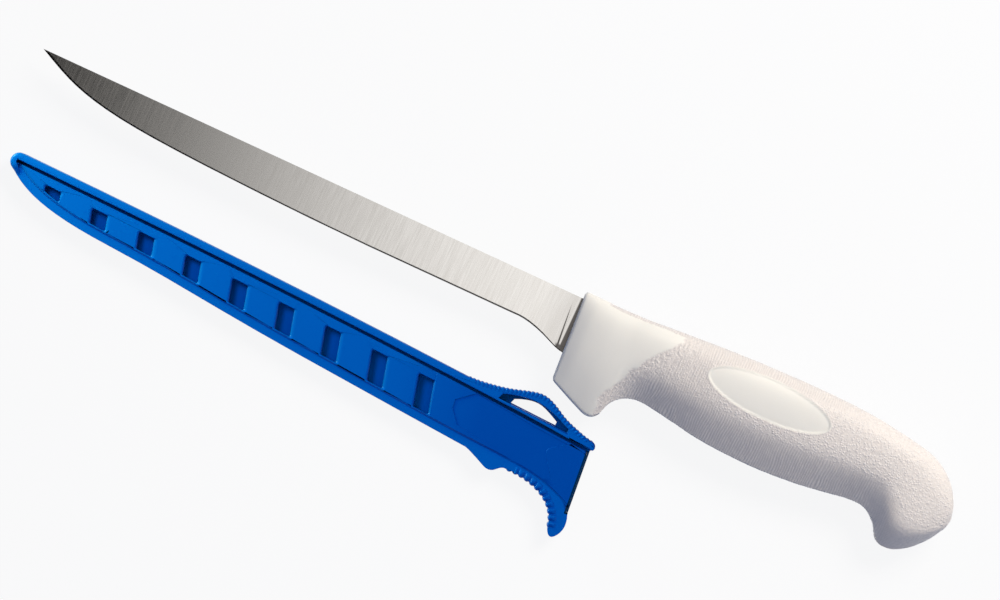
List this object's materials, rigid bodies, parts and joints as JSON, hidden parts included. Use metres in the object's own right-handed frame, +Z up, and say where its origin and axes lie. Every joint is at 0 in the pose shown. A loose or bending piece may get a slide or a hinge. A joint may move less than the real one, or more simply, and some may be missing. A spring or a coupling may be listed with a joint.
{
  "type": "fillet knife",
  "caption": "Flexible narrow fillet knife with a soft white hooked grip, lying beside its vented blue blade sheath.",
  "frame": {"origin": "bottom centre of the bounding box, on the surface that knife and sheath lie on", "axes": "+X from the blade's tip to the butt, +Y from the cutting edge to the spine, +Z up"},
  "size_m": [0.349, 0.085, 0.0218],
  "materials": {
    "blade_steel": "stamped high-carbon stainless steel, ground across the blade",
    "core_plastic": "moulded white polypropylene",
    "grip_rubber": "moulded white soft thermoplastic rubber, ribbed and pebbled",
    "sheath_plastic": "moulded satin blue polypropylene"
  },
  "bodies": {
    "knife": {"blade": "blade_steel", "handle_core": "core_plastic", "handle_grip": "grip_rubber"},
    "sheath": {"sheath_back": "sheath_plastic", "sheath_front": "sheath_plastic"}
  },
  "joints": [
    {"name": "sheath_slide", "type": "slide", "parent": "knife", "child": "sheath", "axis": [-0.9994, 0.036, 0], "range_m": [0, 0.24]}
  ]
}
